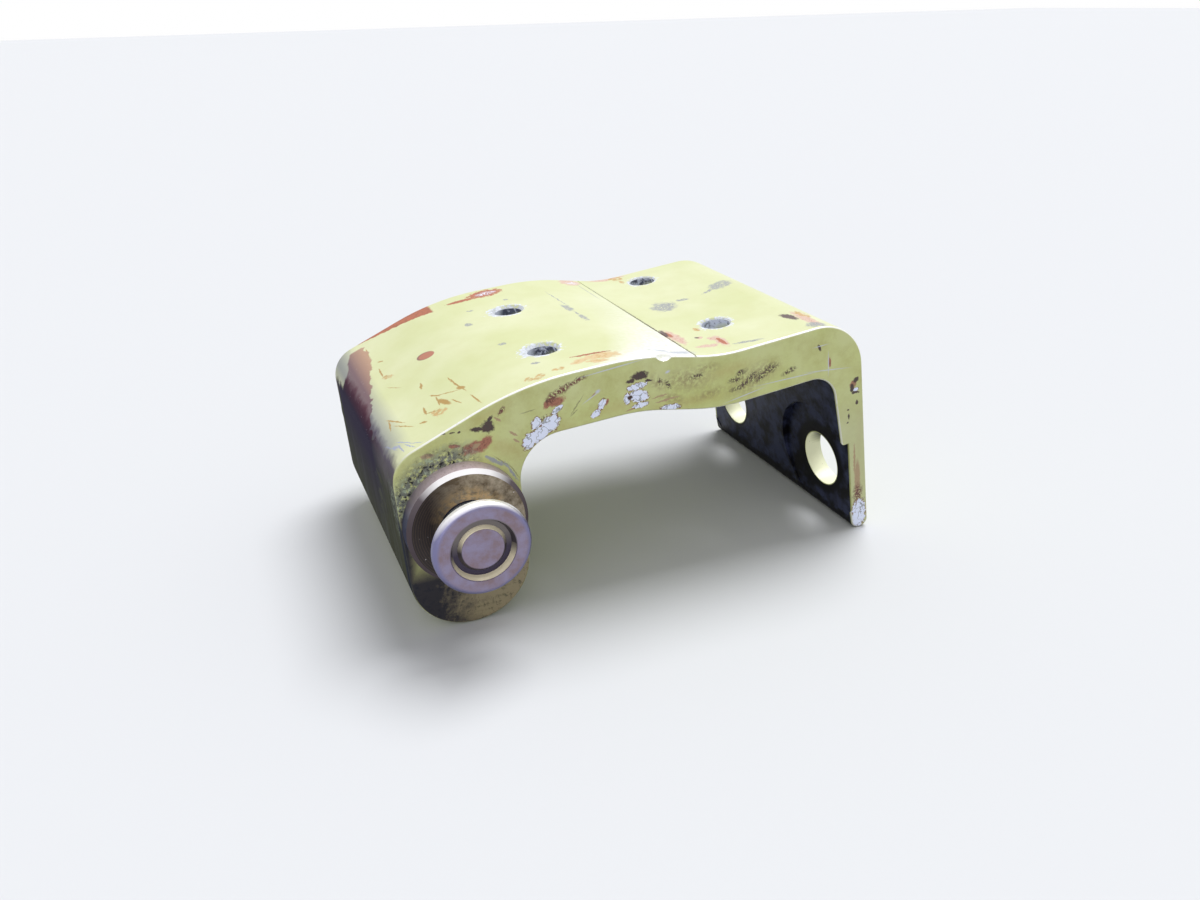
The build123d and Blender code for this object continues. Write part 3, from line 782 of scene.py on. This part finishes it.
dress("pivot_pin", worn_pin())


# The ground under the hinge: a plain pale sheet, a little darker to the light that it throws back up
# than to the camera, under an even pale sky.
FLOOR_SIDE = 6.0
FLOOR_DROP = 0.00005
FLOOR_SEEN = srgb(214, 216, 220)
FLOOR_THROWN = srgb(150, 150, 150)
SKY_LIGHT = 0.46
SKY_SEEN = 1.0
WHITE = (1, 1, 1, 1)


def seen_directly(tree):
    """1 where the camera, a reflection or a clear piece looks at the surface."""
    path = tree.nodes.new("ShaderNodeLightPath")
    seen = path.outputs["Is Camera Ray"]
    for ray in ("Is Glossy Ray", "Is Transmission Ray"):
        both = tree.nodes.new("ShaderNodeMath")
        both.operation = "MAXIMUM"
        tree.links.new(seen, both.inputs[0])
        tree.links.new(path.outputs[ray], both.inputs[1])
        seen = both.outputs[0]
    return seen


def pale_sheet():
    material = bpy.data.materials.new("pale_sheet")
    material.use_nodes = True
    tree = material.node_tree
    mix = tree.nodes.new("ShaderNodeMix")
    mix.data_type = "RGBA"
    mix.inputs[6].default_value = FLOOR_THROWN
    mix.inputs[7].default_value = FLOOR_SEEN
    tree.links.new(seen_directly(tree), mix.inputs[0])
    shader = tree.nodes["Principled BSDF"]
    shader.inputs["Roughness"].default_value = 0.9
    shader.inputs["Specular IOR Level"].default_value = 0.1
    tree.links.new(mix.outputs[2], shader.inputs["Base Color"])
    return material


bpy.ops.mesh.primitive_plane_add(size=FLOOR_SIDE, location=(0, 0, -FLOOR_DROP))
floor = bpy.context.object
floor.name = "floor"
floor.data.materials.append(pale_sheet())

sky = bpy.data.worlds.new("pale_sky")
bpy.context.scene.world = sky
sky.use_nodes = True
background = sky.node_tree.nodes["Background"]
background.inputs["Color"].default_value = WHITE
sky_level = sky.node_tree.nodes.new("ShaderNodeMapRange")
sky_level.inputs["To Min"].default_value = SKY_LIGHT
sky_level.inputs["To Max"].default_value = SKY_SEEN
sky.node_tree.links.new(seen_directly(sky.node_tree), sky_level.inputs["Value"])
sky.node_tree.links.new(sky_level.outputs[0], background.inputs["Strength"])


# The lamps: one broad soft light from above, behind and to the right, and a weak one from the front
# left.
def soft_lamp(name, strength, spread, aim_from):
    lamp = bpy.data.lights.new(name, "SUN")
    lamp.energy = strength
    lamp.angle = math.radians(spread)
    stand = bpy.data.objects.new(name, lamp)
    stand.matrix_world = Vector(aim_from).to_track_quat("Z", "Y").to_matrix().to_4x4()
    bpy.context.scene.collection.objects.link(stand)


soft_lamp("top_light", strength=2.65, spread=35, aim_from=(0.32, 0.22, 0.92))
soft_lamp("front_light", strength=0.5, spread=60, aim_from=(-0.5, -0.8, 0.45))


# The camera, where the photograph was taken from: low, in front of the pin's side and turned to the
# right.
PLACE = (-0.0497, -0.1202, 0.0701)
TURN_RIGHT = 22.29
LOOK_DOWN = 24.52
TILT = 1.295
LENS = 29.79
SENSOR_WIDTH = 36
NEAREST_SEEN = 0.005

camera = bpy.data.objects.new("camera", bpy.data.cameras.new("camera"))
camera.data.sensor_width = SENSOR_WIDTH
camera.data.lens = LENS
camera.data.clip_start = NEAREST_SEEN
camera.matrix_world = (
    Matrix.Translation(PLACE)
    @ Matrix.Rotation(math.radians(-TURN_RIGHT), 4, "Z")
    @ Matrix.Rotation(math.radians(90 - LOOK_DOWN), 4, "X")
    @ Matrix.Rotation(math.radians(-TILT), 4, "Z")
)
bpy.context.scene.collection.objects.link(camera)
bpy.context.scene.camera = camera
bpy.context.scene.view_settings.view_transform = "Standard"
